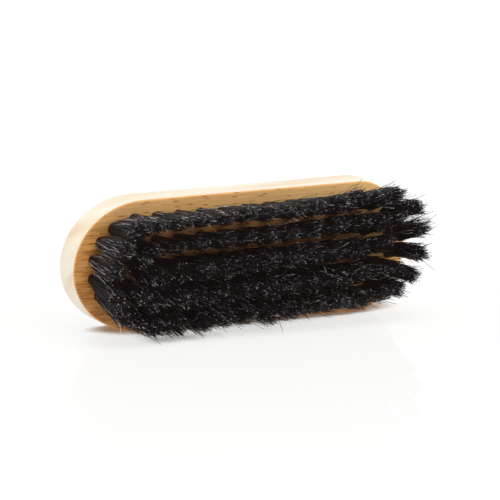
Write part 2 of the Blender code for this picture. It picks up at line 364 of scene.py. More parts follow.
def row_fan(x, up):
    """How wide a row's bunch opens along the face and up it, as shares of the tree's opening."""
    low = 1 - share_between(up, *UPPER_ROWS)
    lowest = share_between(-up, *LOWEST_ROW)
    corner = share_between(x, *RIGHT_CORNER)
    slim = SLIM_FAN + x * SLIM_FAN_TO_RIGHT
    fan = slim + (WIDE_FAN - slim) * low - corner * low * CORNER_SLIMS - lowest * LOWEST_SLIMS
    if abs(up) < MIDDLE_ROW_REACH:
        fan -= corner * MIDDLE_CORNER_SLIMS
    return FAN_ALONG + low * LOWER_FAN_ALONG, fan


for row, up in (("upper", OUTER_RING), ("middle", 0), ("lower", -OUTER_RING)):
    print(f"fan up the face in the {row} row: {row_fan(0, up)[1]:.2f}")

# %% [markdown]
# ## How the ends lean and fan out
# The bunches of the outer ring's ends are seen one by one against the white table, like flames, and
# each has been bent its own way. No formula gives that, so each of them has a short row of numbers,
# given one by one. Only the two bunches at each end of the inner ring share theirs.

# %% How the ends lean and fan out
RIGHT_END_HABITS = (  # lean along, lean up, fan, how late it opens, how late it leans
    (-0.0028, 0.0100, 0.80, 0.5, 0.5),
    (0.0008, 0.0088, 0.56, 0.3, 0.5),
    (0.0000, 0.0082, 1.00, 0.5, 1.1),
    (0.0012, 0.0047, 0.76, 0.5, 0.5),
    (0.0014, 0.0038, 0.66, 0.4, 0.6),
    (0.0002, 0.0032, 0.66, 0.3, 0.7),
)
LEFT_END_HABITS = (  # lean along, lean up, fan
    (0.0002, -0.0020, 0.66),
    (0.0000, -0.0038, 0.75),
    (-0.0008, -0.0040, 0.90),
    (-0.0019, 0.0006, 1.00),
    (-0.0018, 0.0026, 1.20),
    (-0.0010, 0.0050, 1.35),
)
INNER_LEFT_FAN = (0.9, 0.7)  # along, up
INNER_RIGHT_FAN = (0.5, 0.35)
INNER_RIGHT_SPREAD = 0.55  # more lean for each metre up the face
print("bunches set by eye:", len(RIGHT_END_HABITS) + len(LEFT_END_HABITS))

# %% [markdown]
# ## The habit of any bunch
# A lean or a fan can grow evenly along the hair or start late, near the tips. That is one more number
# each, a power of the share of the way along: above 1 it starts late, below 1 it starts at once. The
# last number says how far the tips draw together into locks.

# %% The habit of any bunch
BUNCHES_IN_HALF_END = OUTER_END_BUNCHES // 2
LEANS_LATE = 1.2
OPENS_LATE = 0.5
UPPER_OPENS_LATE = 0.4
UPPER_HALF = 0.004
EVENLY = 1.0
GATHER = 0.40
LEFT_END_GATHER = 0.45
INNER_RIGHT_GATHER = 0.60
RIGHT_END_GATHER = 0.80


def habit(lean, fan, leans_late, opens_late, gather):
    """The facts of one bunch as the hair tree reads them. Lean and fan go along and up the face."""
    return {
        "lean": (lean[0], leans_late, lean[1]),
        "fan": (fan[0], opens_late, fan[1]),
        "gather": gather,
    }


def bunch_habit(name, index, place):
    """The habit of a bunch, from its stretch, its number in it and its place."""
    along = place.x * TILT_ALONG
    up = row_lift(*place)
    if "row" in name:
        opens_late = UPPER_OPENS_LATE if place.y > UPPER_HALF else OPENS_LATE
        return habit((along, up), row_fan(*place), LEANS_LATE, opens_late, GATHER)
    if name == "inner_end_left":
        return habit((along, up), INNER_LEFT_FAN, LEANS_LATE, OPENS_LATE, GATHER)
    if name == "inner_end_right":
        lean = (along, up + place.y * INNER_RIGHT_SPREAD)
        return habit(lean, INNER_RIGHT_FAN, EVENLY, EVENLY, INNER_RIGHT_GATHER)
    if name.startswith("outer_end_left"):
        number = index + (BUNCHES_IN_HALF_END if name.endswith("top") else 0)
        along, up, fan = LEFT_END_HABITS[number]
        return habit((along, up), (fan, fan), LEANS_LATE, OPENS_LATE, LEFT_END_GATHER)
    number = index + (BUNCHES_IN_HALF_END if name.endswith("bottom") else 0)
    along, up, fan, opens_late, leans_late = RIGHT_END_HABITS[number]
    return habit((along, up), (fan, fan), leans_late, opens_late, RIGHT_END_GATHER)


print("the middle bunch:", bunch_habit("middle_row_middle", 0, Vector((0, 0))))

# %% [markdown]
# ## A point for each bunch
# The tree needs to know each bunch's habit. It could have an input for each, but 71 bunches are too
# many, so every bunch is a loose point of a mesh, and the point carries its habit as attributes. All
# the attributes are made first and then fetched by name: making one can move the others in memory,
# and an old Python reference to them would point at nothing.

# %% A point for each bunch
BUNCH_FACTS = {"lean": "FLOAT_VECTOR", "fan": "FLOAT_VECTOR", "gather": "FLOAT"}


def root_points(name, places):
    """A mesh of loose points, one for each bunch, which carry the bunch's habits."""
    mesh = bpy.data.meshes.new(name)
    mesh.from_pydata([(place.x, FACE_Y, MIDDLE_Z + place.y) for place in places], [], [])
    for fact, kind in BUNCH_FACTS.items():
        mesh.attributes.new(fact, kind, "POINT")
    for index, place in enumerate(places):
        facts = bunch_habit(name, index, place)
        mesh.attributes["lean"].data[index].vector = facts["lean"]
        mesh.attributes["fan"].data[index].vector = facts["fan"]
        mesh.attributes["gather"].data[index].value = facts["gather"]
    return mesh


print("facts on each bunch:", ", ".join(BUNCH_FACTS))

# %% [markdown]
# ## Random draws
# No two hairs are alike. Python could draw the numbers and hand them over, but the tree can draw its
# own for each hair. Each kind of draw has its own seed, counted from the tree's, so the hair grows
# the same each time. A draw with an ident is the same for all hairs that share it, such as a bunch's.

# %% Random draws
REACH_SEED = 50


def random_value(graph, low, high, seed, kind="FLOAT", ident=None):
    """A random number or vector for each hair, or for each value of ident."""
    base = 0 if kind == "FLOAT_VECTOR" else 2
    inputs = {base: low, base + 1: high, "Seed": seed}
    if ident is not None:
        inputs["ID"] = ident
    return graph.add("FunctionNodeRandomValue", {"data_type": kind}, inputs, base // 2)


def random_vector(graph, seed, ident=None):
    return random_value(graph, (-1, -1, -1), (1, 1, 1), seed, "FLOAT_VECTOR", ident)


def disc_place(graph, seed, ident=None):
    """A random place in a disc of radius 1, lying in the face of the block."""
    angle = random_value(graph, 0.0, 2 * math.pi, seed, ident=ident)
    reach = random_value(graph, 0.0, 1.0, seed + REACH_SEED, ident=ident).math("SQRT")
    return graph.vector(angle.math("COSINE") * reach, 0.0, angle.math("SINE") * reach)


print("seed of a reach:", REACH_SEED, "more than that of its angle")

# %% [markdown]
# ## Scattering the hairs of a bunch
# The hairs of a real bunch stand close together all over the hole, and their tips stick together in
# locks. Distributing points on a disc would do for one bunch, but it loses track of which bunch a
# point belongs to. Duplicating each bunch's point keeps the habit on every copy, and each copy then
# draws its own place, lock, wander and tone.

# %% Scatter the hairs
LOCKS = 16
HAIR_FACTS = {
    "root": "FLOAT_VECTOR",
    "place": "FLOAT_VECTOR",
    "lock": "FLOAT_VECTOR",
    "bunch_turn": "FLOAT_VECTOR",
    "wander": "FLOAT_VECTOR",
    "wave": "FLOAT_VECTOR",
    "hair_tone": "FLOAT",
    "along_hair": "FLOAT",
}


def stored(graph, geometry, name, value):
    """The geometry with one more named fact on its points."""
    settings = {"data_type": HAIR_FACTS[name], "domain": "POINT"}
    inputs = {"Geometry": geometry, "Name": name, "Value": value}
    return graph.add("GeometryNodeStoreNamedAttribute", settings, inputs)


def scattered(graph, geometry, given):
    """A point for each hair, with the facts of its bunch and its own."""
    seed = given["Seed"]
    points = graph.add("GeometryNodeMeshToPoints", None, {"Mesh": geometry})
    amount = {"Geometry": points, "Amount": given["Hairs"]}
    hairs = graph.add("GeometryNodeDuplicateElements", {"domain": "POINT"}, amount)
    bunch = (graph.add("GeometryNodeInputIndex") / given["Hairs"]).math("FLOOR")
    lock = (random_value(graph, 0.0, LOCKS, seed + 1) + bunch * LOCKS).math("FLOOR")
    hairs = stored(graph, hairs, "root", graph.add("GeometryNodeInputPosition"))
    hairs = stored(graph, hairs, "place", disc_place(graph, seed + 2))
    hairs = stored(graph, hairs, "lock", disc_place(graph, seed + 3, lock))
    hairs = stored(graph, hairs, "bunch_turn", random_vector(graph, seed + 4, bunch))
    hairs = stored(graph, hairs, "wander", random_vector(graph, seed + 5))
    hairs = stored(graph, hairs, "wave", random_vector(graph, seed + 6))
    return stored(graph, hairs, "hair_tone", random_value(graph, 0.0, 1.0, seed + 7))


print("facts on each hair:", ", ".join(HAIR_FACTS))

# %% [markdown]
# ## How far out a point of a hair is
# Hairs at the rim of a bunch are a little shorter, which rounds its top, and no two are cut to just
# the same length. Each starts below the face, inside its hole. The hairs could be trimmed after they
# are bent, but to give each its length first is simpler.

# %% How far out a point of a hair is
LENGTH_IN_MIDDLE = 1.03  # shares of the hair's length
SHORTER_AT_RIM = 0.20
LENGTH_DIFFERS = 0.05
BUNCH_LENGTH_DIFFERS = 0.02
DEPTH_IN_HOLE = 0.002


def read(graph, name):
    kind = (BUNCH_FACTS | HAIR_FACTS)[name]
    return graph.add("GeometryNodeInputNamedAttribute", {"data_type": kind}, {"Name": name})


def hair_heights(graph, given, share):
    """How far a point of a hair is from the face, and the same as a share of the hair's length."""
    place_x, _, place_z = graph.parts(read(graph, "place"))
    _, wander_y, _ = graph.parts(read(graph, "wander"))
    _, turn_y, _ = graph.parts(read(graph, "bunch_turn"))
    edge = place_x * place_x + place_z * place_z
    evened = LENGTH_IN_MIDDLE - edge * SHORTER_AT_RIM
    length = given["Hair Length"] * (evened + wander_y * LENGTH_DIFFERS + turn_y * BUNCH_LENGTH_DIFFERS)
    height = share * (length + DEPTH_IN_HOLE) - DEPTH_IN_HOLE
    return height, height.math("MAXIMUM", 0.0) / given["Hair Length"]


print(f"hairs start {DEPTH_IN_HOLE * 1000:.0f} mm below the face")

# %% [markdown]
# ## Where in its bunch a hair is
# The neck of a bunch is as narrow as its hole, and from there it opens. A plain cone would look like
# a paint brush. Here the opening follows the bunch's own power of the way along, and each hair is
# drawn towards the middle of its lock, more and more towards the tip.

# %% Where in its bunch a hair is
def in_its_bunch(graph, given, rise):
    """Where in its bunch a point of a hair is: it opens from the neck and gathers into a lock."""
    place_x, _, place_z = graph.parts(read(graph, "place"))
    lock_x, _, lock_z = graph.parts(read(graph, "lock"))
    fan_along, opens_late, fan_up = graph.parts(read(graph, "fan"))
    fan = (given["Tip Radius"] - given["Neck Radius"]) * rise**opens_late
    gather = rise * rise * read(graph, "gather")
    side_x = place_x + (lock_x - place_x) * gather
    side_z = place_z + (lock_z - place_z) * gather
    return side_x * (given["Neck Radius"] + fan * fan_along), side_z * (given["Neck Radius"] + fan * fan_up)


print("locks in a bunch:", LOCKS)

# %% [markdown]
# ## Bending a hair
# A hair starts as a straight line, and each point of it is then moved to where it belongs. It could
# be bent step by step, as a chain, but a formula of how far along the hair the point is gives the
# whole curve at once: the root, the lean, the place in the bunch, a wander that starts late, and a
# small wave. A few strays wander more than the rest. No hair goes below the table.

# %% Bend the hairs
STRAY_DRAW = 37.0
STRAYS_FROM = 0.94
LONG_STRAY_DRAW = 53.0
LONG_STRAYS_FROM = 0.997
WANDER = 0.0009
STRAY_WANDER = 0.0027
LONG_STRAY_WANDER = 0.0060
WANDERS_LATE = 1.6
WAVES = 9.0
WAVE_SHIFT = 3.0
WAVE_HEIGHT = 0.0006
BUNCH_LEAN_DIFFERS = 0.0008
BUNCH_LIFT_DIFFERS = 0.0006
TABLE_CLEARANCE = 0.0005
CLEARANCE_DIFFERS = 0.0003


def bent_place(graph, given, share):
    """The place of each point of each hair."""
    height, rise = hair_heights(graph, given, share)
    opened_x, opened_z = in_its_bunch(graph, given, rise)
    root_x, _, root_z = graph.parts(read(graph, "root"))
    turn_x, _, turn_z = graph.parts(read(graph, "bunch_turn"))
    wander_x, wander_y, wander_z = graph.parts(read(graph, "wander"))
    wave_x, wave_y, wave_z = graph.parts(read(graph, "wave"))
    lean_x, leans_late, lean_up = graph.parts(read(graph, "lean"))
    tone = read(graph, "hair_tone")
    stray = tone.drawn_again(STRAY_DRAW).math("GREATER_THAN", STRAYS_FROM)
    long_stray = tone.drawn_again(LONG_STRAY_DRAW).math("GREATER_THAN", LONG_STRAYS_FROM)
    loose = (stray * STRAY_WANDER + long_stray * LONG_STRAY_WANDER + WANDER) * rise**WANDERS_LATE
    ripple = (rise * WAVES + wave_y * WAVE_SHIFT).math("SINE") * rise * WAVE_HEIGHT
    lean = (lean_x + turn_x * BUNCH_LEAN_DIFFERS) * rise
    along = root_x + lean + opened_x + wander_x * loose + wave_x * ripple
    lift = (lean_up + turn_z * BUNCH_LIFT_DIFFERS) * rise**leans_late
    above = root_z + lift + opened_z + wander_z * loose + wave_z * ripple
    above = above.math("MAXIMUM", wander_y * CLEARANCE_DIFFERS + TABLE_CLEARANCE)
    return graph.vector(along, FACE_Y - height, above)


print(f"strays: {(1 - STRAYS_FROM) * 100:.0f} % of all hairs")
print(f"long strays: {(1 - LONG_STRAYS_FROM) * 100:.1f} % of all hairs")

# %% [markdown]
# ## The hair tree
# Here the steps come together. A line is put on each scattered point, the lines are made real, since
# instances all share one shape, and bent. A triangle is then swept along each hair. A round profile
# would look no different on a hair a fifth of a millimetre thick, and it would cost many times the
# faces. What the materials don't need is taken off again, and the tree ends with real, smooth faces.

# %% The hair tree
HAIR_POINTS = 9
HAIR_SIDES = 3
THINNER_AT_TIP = 0.30
THINS_LATE = 3.0
KEPT_FACTS = ("hair_tone", "along_hair")


def lined(graph, points):
    """A straight line of a few points on each hair's root."""
    line = graph.add("GeometryNodeCurvePrimitiveLine", None, {"End": (0, 0, 1)})
    line = graph.add("GeometryNodeResampleCurve", None, {"Curve": line, "Count": HAIR_POINTS})
    hairs = graph.add("GeometryNodeInstanceOnPoints", None, {"Points": points, "Instance": line})
    return graph.add("GeometryNodeRealizeInstances", None, {"Geometry": hairs})


def swept(graph, hairs, given, share):
    """A thin three-sided tube along each hair, which narrows to its tip."""
    radius = given["Hair Thickness"] * (1.0 - share**THINS_LATE * THINNER_AT_TIP) * 0.5
    ring = graph.add("GeometryNodeCurvePrimitiveCircle", None, {"Resolution": HAIR_SIDES, "Radius": 1.0})
    inputs = {"Curve": hairs, "Profile Curve": ring, "Scale": radius, "Fill Caps": True}
    return graph.add("GeometryNodeCurveToMesh", None, inputs)


def build_hair_tree():
    tree = bpy.data.node_groups.new("horsehair bunches", "GeometryNodeTree")
    add_inputs(tree, HAIR_INPUTS)
    graph = Graph(tree)
    geometry = graph.add("NodeGroupInput")
    given = {name: graph.also(geometry, name) for name, _, _ in HAIR_INPUTS}
    hairs = lined(graph, scattered(graph, geometry, given))
    share = graph.add("GeometryNodeSplineParameter")
    places = {"Geometry": hairs, "Position": bent_place(graph, given, share)}
    hairs = graph.add("GeometryNodeSetPosition", None, places)
    hairs = stored(graph, hairs, "along_hair", share)
    hairs = swept(graph, hairs, given, share)
    for name in BUNCH_FACTS | HAIR_FACTS:
        if name not in KEPT_FACTS:
            hairs = graph.add("GeometryNodeRemoveAttribute", None, {"Geometry": hairs, "Name": name})
    hairs = graph.add("GeometryNodeSetShadeSmooth", None, {"Geometry": hairs, "Shade Smooth": True})
    hairs = graph.add("GeometryNodeRealizeInstances", None, {"Geometry": hairs})
    hairs = graph.add("GeometryNodeSetMaterial", None, {"Geometry": hairs, "Material": given["Material"]})
    graph.add("NodeGroupOutput", None, {0: hairs})
    return tree


hair_tree = build_hair_tree()
print("nodes in the hair tree:", len(hair_tree.nodes))

# %% [markdown]
# ## From a tree to a plain mesh
# A modifier keeps the hair live, which is handy while its sizes are being set. An export needs faces
# that are there for good, so the result is copied into a mesh and the modifier goes.

# %% From a tree to a plain mesh
def set_input(modifier, name, value):
    """A modifier's input is set by the identifier of its socket."""
    for item in modifier.node_group.interface.items_tree:
        if item.name == name and item.in_out == "INPUT":
            modifier[item.identifier] = value


def evaluated_mesh(owner):
    """A new mesh of what an object's modifiers make."""
    depsgraph = bpy.context.evaluated_depsgraph_get()
    return bpy.data.meshes.new_from_object(owner.evaluated_get(depsgraph), depsgraph=depsgraph)


def grown(name, mesh, tree, inputs):
    """Runs a Geometry Nodes tree on a mesh and keeps the result as a plain mesh object."""
    seedling = bpy.data.objects.new(name, mesh)
    bpy.context.scene.collection.objects.link(seedling)
    modifier = seedling.modifiers.new("grow", "NODES")
    modifier.node_group = tree
    for key, value in inputs.items():
        set_input(modifier, key, value)
    made = evaluated_mesh(seedling)
    seedling.modifiers.clear()
    seedling.data = made
    made.name = name
    return seedling


# %% [markdown]
# ## What the materials share
# A material is a node tree too, so the same class writes it. Both finishes of the brush mix colours,
# read noise and end in one Principled BSDF. Each could be written out in full, but what they share
# is shorter to read as a few helpers.

# %% What the materials share
FIRST_COLOR = 6  # the Mix node's sockets for colours come after those for numbers and vectors
SECOND_COLOR = 7
MIXED_COLOR = 2


def new_material(name):
    material = bpy.data.materials.new(name)
    material.use_nodes = True
    return material, Graph(material.node_tree)


def ramp(graph, value, stops):
    return graph.add("ShaderNodeValToRGB", {"stops": stops}, {0: value})


def mixed(graph, share, first, second):
    colors = {0: share, FIRST_COLOR: opaque(first), SECOND_COLOR: opaque(second)}
    return graph.add("ShaderNodeMix", {"data_type": "RGBA"}, colors, MIXED_COLOR)


def noise(graph, vector, detail, scale=1.0):
    return graph.add("ShaderNodeTexNoise", None, {"Vector": vector, "Scale": scale, "Detail": detail})


def finish_surface(graph, surface):
    """Closes a material with one Principled BSDF."""
    shader = graph.add("ShaderNodeBsdfPrincipled", None, surface)
    graph.add("ShaderNodeOutputMaterial", None, {0: shader})


print("materials so far:", len(bpy.data.materials))

# %% [markdown]
# ## The colour of a hair
# Black horsehair is never quite black. Most hairs are a very dark brown, and here and there one is grey
# or tan. Light is painted into the colour as well: painted highlights on the cut tips and along the palest
# hairs, painted glints in speckles on some hairs, and a painted sheen on the hairs at the top and at the
# left end. An image texture would need its picture wrapped round each hair. Instead each hair carries a
# number of its own, and the material turns that number into its colour. To let one number decide several
# things, it is drawn again with another factor.

# %% The colour of a hair
# the palest tones are grey hairs, and they also carry a painted highlight along the hair
HAIR_TONES = (
    (0.0, (0.008, 0.006, 0.006)),
    (0.60, (0.013, 0.010, 0.010)),
    (0.90, (0.024, 0.018, 0.018)),
    (0.955, (0.08, 0.075, 0.08)),
    (0.985, (0.50, 0.49, 0.52)),
    (1.0, (0.70, 0.69, 0.74)),
)
TOP_OF_HAIR = (0.041, 0.048)
LEFT_OF_HAIR = (-0.054, -0.046)
# painted sheen: hairs at the top and at the left end are drawn paler, where more light falls on them
SHEEN_PAINTED_ON_TOP = 0.020
SHEEN_PAINTED_AT_LEFT = 0.016
TAN_HAIR = (0.88, 0.72, 0.52)
TAN_DRAW = 29.0
TAN_HAIRS = (0.990, 0.994)
# painted glints: pale speckles on some hairs, as light catching on them
PAINTED_GLINT = (0.50, 0.50, 0.55)
PAINTED_GLINT_STRENGTH = 0.35
GLINT_SPECKLES_PER_METRE = 2400.0
GLINT_SPECKLES = (0.62, 0.72)
GLINT_DRAW = 11.0
GLINTED_HAIRS = (0.70, 0.98)
# painted highlight: the cut end of some hairs is drawn near white, as light on it
CUT_END_HIGHLIGHT = (0.98, 0.97, 1.0)
CUT_END_DRAW = 17.0
LIT_CUT_ENDS = (0.89, 0.97)
LAST_BIT_OF_HAIR = (0.974, 0.982)


def hair_color(graph, tone, share, place):
    """The colour of a hair at a place on it, from its own number, with painted sheen, glints and tip
    highlights.
    """
    x, _, z = graph.parts(place)
    left = 1 - x.between(*LEFT_OF_HAIR)
    # painted sheen on the hairs at the top and at the left end
    painted_sheen = z.between(*TOP_OF_HAIR) * SHEEN_PAINTED_ON_TOP + left * SHEEN_PAINTED_AT_LEFT
    color = ramp(graph, tone + painted_sheen, HAIR_TONES)
    color = mixed(graph, tone.drawn_again(TAN_DRAW).between(*TAN_HAIRS), color, TAN_HAIR)
    # painted glints in speckles on some of the hairs
    glint_speckle = noise(graph, place, 0.0, GLINT_SPECKLES_PER_METRE).between(*GLINT_SPECKLES)
    shiny = tone.drawn_again(GLINT_DRAW).between(*GLINTED_HAIRS)
    color = mixed(graph, glint_speckle * shiny * PAINTED_GLINT_STRENGTH, color, PAINTED_GLINT)
    # painted highlight on the last bit of some hairs, where the cut end catches light
    seen = tone.drawn_again(CUT_END_DRAW).between(*LIT_CUT_ENDS)
    return mixed(graph, share.between(*LAST_BIT_OF_HAIR) * seen, color, CUT_END_HIGHLIGHT)


print(f"light from {LAST_BIT_OF_HAIR[0] * 100:.1f} % of the way along, where the cut end of a hair shows")

# %% [markdown]
# ## Horsehair
# Horsehair has a soft shine, and some hairs shine more than others. A hair shader would give that,
# but it is meant for true strands, and these are meshes. So one Principled BSDF takes its roughness
# from the hair's own number. Deep in a bunch the picture isn't fully black, and a very faint warm
# glow stands in for the light that is passed on there from hair to hair.

# %% Horsehair
ROUGHNESS_DRAW = 13.0
SMOOTHEST_HAIR = 0.34
HAIR_ROUGHNESS_DIFFERS = 0.15
HAIR_SPECULAR = 0.21
WARM_DEPTHS = (1.0, 0.75, 0.72)
DEPTHS_GLOW = 0.004


def horsehair():
    material, graph = new_material("black_horsehair")
    tone = graph.add("ShaderNodeAttribute", {"attribute_name": "hair_tone"}, None, "Fac")
    share = graph.add("ShaderNodeAttribute", {"attribute_name": "along_hair"}, None, "Fac")
    place = graph.add("ShaderNodeTexCoord", None, None, "Object")
    surface = {
        "Base Color": hair_color(graph, tone, share, place),
        "Roughness": tone.drawn_again(ROUGHNESS_DRAW) * HAIR_ROUGHNESS_DIFFERS + SMOOTHEST_HAIR,
        "Specular IOR Level": HAIR_SPECULAR,
        "Emission Color": opaque(WARM_DEPTHS),
        "Emission Strength": DEPTHS_GLOW,
    }
    finish_surface(graph, surface)
    return material


hair_material = horsehair()
print("nodes in", hair_material.name, len(hair_material.node_tree.nodes))

# %% [markdown]
# ## The grain of the beech
# Beech is pale, with fine fibres along the plank and soft bands where the growth rings run out at
# the surface. A photo of wood would show seams where the face turns into the side. Noise that is
# stretched along the plank and read at each point of the object runs through the block as grain does,
# so face, side and ends fit together. The rings are tilted, as in a plank from beside a log's middle.

# %% The grain of the beech
RINGS_PER_METRE = (9.0, 60.0, 380.0)  # along the plank, along the tilted rings, across them
FIBRES_PER_METRE = (140.0, 1700.0, 1700.0)
CLOUDS_PER_METRE = (14.0, 30.0, 150.0)
RINGS_DETAIL = 3.0
FIBRES_DETAIL = 2.0
SOFT_DETAIL = 1.0
RINGS_COSINE = 0.8  # of the rings' tilt
RINGS_SINE = 0.6
RINGS_IN_FIGURE = 0.52
FIBRES_IN_FIGURE = 0.48
CLOUDS_IN_BANDS = 0.65
FIGURE_IN_BANDS = 0.35


def stretched(graph, parts, per_metre):
    """A vector for a texture, with its own pace along each axis."""
    return graph.vector(*(part * pace for part, pace in zip(parts, per_metre)))


def beech_grain(graph, x, y, z):
    """The rings, the rings with the fibres, and the soft bands of the sides, each about 0.5."""
    across = z * RINGS_COSINE + y * RINGS_SINE
    through = y * RINGS_COSINE - z * RINGS_SINE
    rings = noise(graph, stretched(graph, (x, through, across), RINGS_PER_METRE), RINGS_DETAIL)
    fibres = noise(graph, stretched(graph, (x, y, z), FIBRES_PER_METRE), FIBRES_DETAIL)
    figure = rings * RINGS_IN_FIGURE + fibres * FIBRES_IN_FIGURE
    clouds = noise(graph, stretched(graph, (x, through, across), CLOUDS_PER_METRE), SOFT_DETAIL)
    return rings, figure, clouds * CLOUDS_IN_BANDS + figure * FIGURE_IN_BANDS


print(f"a growth ring every {1000 / RINGS_PER_METRE[2]:.1f} mm or so")

# %% [markdown]
# ## The colours of the face
# The face is honey-coloured. Painted light makes it paler towards the top and the right, and painted shade
# makes it darker among the bunches, where little light gets out again. The shade could be painted in an
# image, but it follows the rings, so a mask on the distance from the line of the middle row gives it the
# same round ends as they have.

# %% The colours of the face
FACE_TONES = (
    (0.42, (0.48, 0.180, 0.040)),
    (0.50, (0.66, 0.285, 0.074)),
    (0.58, (0.80, 0.41, 0.130)),
)
# painted light: the face is drawn paler towards the top and the right
LIT_FACE_COLOR = (0.89, 0.56, 0.235)
TOP_OF_FACE = (0.036, 0.046)
RIGHT_OF_FACE = (-0.02, 0.065)
LIGHT_PAINTED_AT_TOP = 0.58
LIGHT_PAINTED_AT_RIGHT = 0.36
# painted shade on the wood among the bunches
SHADE_AMONG_BUNCHES = (0.64, 0.290, 0.120)
SHADE_AMONG_STRENGTH = 0.72
RINGS_END = (OUTER_RING - 0.0025, OUTER_RING + 0.0005)
OPEN_RIGHT_END = (0.044, 0.054)  # light falls in between the bunches from here on
OPEN_STRENGTH = 0.9


def from_middle_line(x, z):
    """How far a place is from the line on which the middle row stands."""
    beyond = (x.math("ABSOLUTE") - HALF_RUN).math("MAXIMUM", 0.0)
    return (beyond * beyond + (z - MIDDLE_Z) ** 2.0).math("SQRT")


def face_color(graph, x, z, figure):
    """The wood of the face, with painted light towards the top and the right and painted shade among the
    bunches.
    """
    # painted light towards the top and the right of the face
    painted_light = z.between(*TOP_OF_FACE) * LIGHT_PAINTED_AT_TOP + x.between(*RIGHT_OF_FACE) * LIGHT_PAINTED_AT_RIGHT
    color = mixed(graph, painted_light, ramp(graph, figure, FACE_TONES), LIT_FACE_COLOR)
    # painted shade among the bunches, lifted at the right end where light falls in
    shade_among = 1 - from_middle_line(x, z).between(*RINGS_END)
    shade_among = shade_among * (1 - x.between(*OPEN_RIGHT_END) * OPEN_STRENGTH)
    return mixed(graph, shade_among * SHADE_AMONG_STRENGTH, color, SHADE_AMONG_BUNCHES)


print(f"darker up to {RINGS_END[1] * 1000:.1f} mm from the middle line")

# %% [markdown]
# ## The colours of the edge and the sides
# The sides are nearly white: painted light gives them a paler, lit colour of the same beech as the face.
# A narrow orange line of painted glow runs along the sanded edge between them and the face. Three
# materials could do it, but a seam would show where they meet. Masks on the depth below the face blend
# all three in one material.

# %% The colours of the edge and the sides
FACE_EDGE_ROUND = 0.0007
# painted light: the sides take a paler, lit colour of the same beech as the face
LIT_SIDE_TONES = (
    (0.40, (0.76, 0.57, 0.38)),
    (0.50, (0.83, 0.71, 0.54)),
    (0.60, (0.87, 0.79, 0.65)),
)
SIDE_BEGINS = (FACE_EDGE_ROUND * 0.2, FACE_EDGE_ROUND * 0.75)
# painted glow: an orange line of light along the rounded edge of the face
PAINTED_EDGE_GLOW = (0.80, 0.33, 0.040)
GLOW_BEGINS = (FACE_EDGE_ROUND * 0.05, FACE_EDGE_ROUND * 0.3)
GLOW_ENDS = (FACE_EDGE_ROUND * 0.5, FACE_EDGE_ROUND * 0.95)
GLOW_STRENGTH = 0.8


def edged(graph, depth, face, bands):
    """The colour of the face, which turns into the painted, lit colour of the sides over a painted orange
    glow.
    """
    # painted light on the sides
    color = mixed(graph, depth.between(*SIDE_BEGINS), face, ramp(graph, bands, LIT_SIDE_TONES))
    # painted glow of light along the rounded edge
    glow = depth.between(*GLOW_BEGINS) * (1 - depth.between(*GLOW_ENDS))
    return mixed(graph, glow * GLOW_STRENGTH, color, PAINTED_EDGE_GLOW)


print(f"the orange line is {(GLOW_ENDS[1] - GLOW_BEGINS[0]) * 1000:.1f} mm wide")

# %% [markdown]
# ## The flecks
# Beech is known by its small dark flecks, which lie along the grain like dashes. They could be painted
# on, but cells of a Voronoi texture, drawn out along the plank, give one short fleck for each cell,
# and a random colour for each cell says which of them are seen. A slow noise shifts the cells, so
# that the flecks don't stand in rows.

# %% The flecks
FLECKS_PER_METRE = (165.0, 1500.0, 1500.0)
WARP_PER_METRE = (50.0, 50.0, 50.0)
FLECK_WARP = 0.8
FLECK_RIM = (0.16, 0.26)
FLECKS_SEEN = (0.42, 0.52)


def beech_flecks(graph, x, y, z):
    """1 in a fleck and 0 beside it."""
    warp = noise(graph, stretched(graph, (x, y, z), WARP_PER_METRE), SOFT_DETAIL) * FLECK_WARP
    along, side, up = FLECKS_PER_METRE
    cells = {"Vector": graph.vector(x * along + warp, y * side, z * up), "Scale": 1.0}
    flecks = graph.add("ShaderNodeTexVoronoi", {"feature": "F1"}, cells, "Distance")
    picked = graph.add("ShaderNodeSeparateColor", None, {0: graph.also(flecks, "Color")})
    return (1 - flecks.between(*FLECK_RIM)) * picked.between(*FLECKS_SEEN)


print(f"cells for flecks are {1000 / FLECKS_PER_METRE[0]:.0f} mm long")

# %% [markdown]
# ## The finish of the beech
# Such a block is sanded and has a thin, semi-matt finish. Its sides are smoother than its face, and
# the flecks lie a little deeper than the wood around them. That relief could be in the mesh, but it
# is a tenth of a millimetre at most, and a Bump node shows as much of it as can be seen.

# %% The finish of the beech
FLECK = (0.17, 0.050, 0.014)
FLECK_STRENGTH = 0.90
SIDES_HIDE_FLECKS = 0.80
RELIEF_HEIGHT = 0.0001
RELIEF_STRENGTH = 0.25
FLECK_DEPTH = 0.6
BEECH_ROUGHNESS = 0.42
RINGS_ROUGHER = 0.10
SIDES_SMOOTHER = 0.14
BEECH_SPECULAR = 0.30


def beech():
    material, graph = new_material("pale_beech")
    x, y, z = graph.parts(graph.add("ShaderNodeTexCoord", None, None, "Object"))
    rings, figure, bands = beech_grain(graph, x, y, z)
    depth = y - FACE_Y
    side = depth.between(*SIDE_BEGINS)
    color = edged(graph, depth, face_color(graph, x, z, figure), bands)
    fleck = beech_flecks(graph, x, y, z)
    height = figure - fleck * FLECK_DEPTH
    relief = {"Strength": RELIEF_STRENGTH, "Distance": RELIEF_HEIGHT, "Height": height}
    surface = {
        "Base Color": mixed(graph, fleck * (FLECK_STRENGTH - side * SIDES_HIDE_FLECKS), color, FLECK),
        "Roughness": rings * RINGS_ROUGHER + BEECH_ROUGHNESS - side * SIDES_SMOOTHER,
        "Specular IOR Level": BEECH_SPECULAR,
        "Normal": graph.add("ShaderNodeBump", None, relief),
    }
    finish_surface(graph, surface)
    return material


beech_material = beech()
print("nodes in", beech_material.name, len(beech_material.node_tree.nodes))

